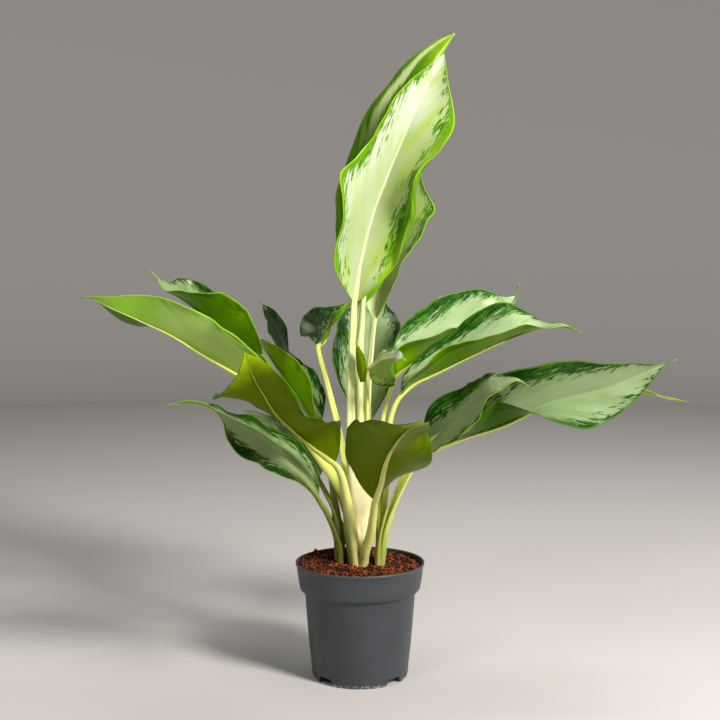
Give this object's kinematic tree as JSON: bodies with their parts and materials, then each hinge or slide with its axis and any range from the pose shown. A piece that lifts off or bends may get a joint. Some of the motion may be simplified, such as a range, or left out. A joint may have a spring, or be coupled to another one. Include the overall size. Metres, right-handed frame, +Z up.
{
  "type": "potted plant",
  "caption": "Potted Chinese evergreen: broad pointed variegated leaves on long arching pale stalks, rooted in loose soil in a round tapered nursery pot with a deep collar.",
  "frame": {"origin": "the middle of the pot's flat base, on the surface that it stands on", "axes": "+Z up, -Y towards the viewer of the picture, +X to the viewer's right"},
  "size_m": [0.5568, 0.4303, 0.5965],
  "materials": {
    "pot_plastic": "matte",
    "coir_soil": "matte",
    "stalk_green": "satin",
    "leaf_green": "satin",
    "leaf_cream": "satin"
  },
  "bodies": {
    "root": {"pot": "pot_plastic", "soil": "coir_soil", "stem_left": "stalk_green", "stem_centre": "stalk_green", "stem_right": "stalk_green", "leaf_top_front": "leaf_cream", "leaf_top_rolled": "leaf_cream", "leaf_top_back": "leaf_cream", "leaf_back": "leaf_green", "leaf_back_left": "leaf_green", "leaf_right_high": "leaf_green", "leaf_right_mid": "leaf_green", "leaf_right_long": "leaf_green", "leaf_right_front": "leaf_green", "leaf_right_back": "leaf_green", "leaf_centre_small": "leaf_green", "leaf_front": "leaf_green", "leaf_left_front": "leaf_green", "leaf_left_long": "leaf_green", "leaf_left_high": "leaf_green", "leaf_left_inner": "leaf_green", "leaf_left_back": "leaf_green", "leaf_left_low": "leaf_green", "leaf_left_low_back": "leaf_green"}
  },
  "joints": []
}
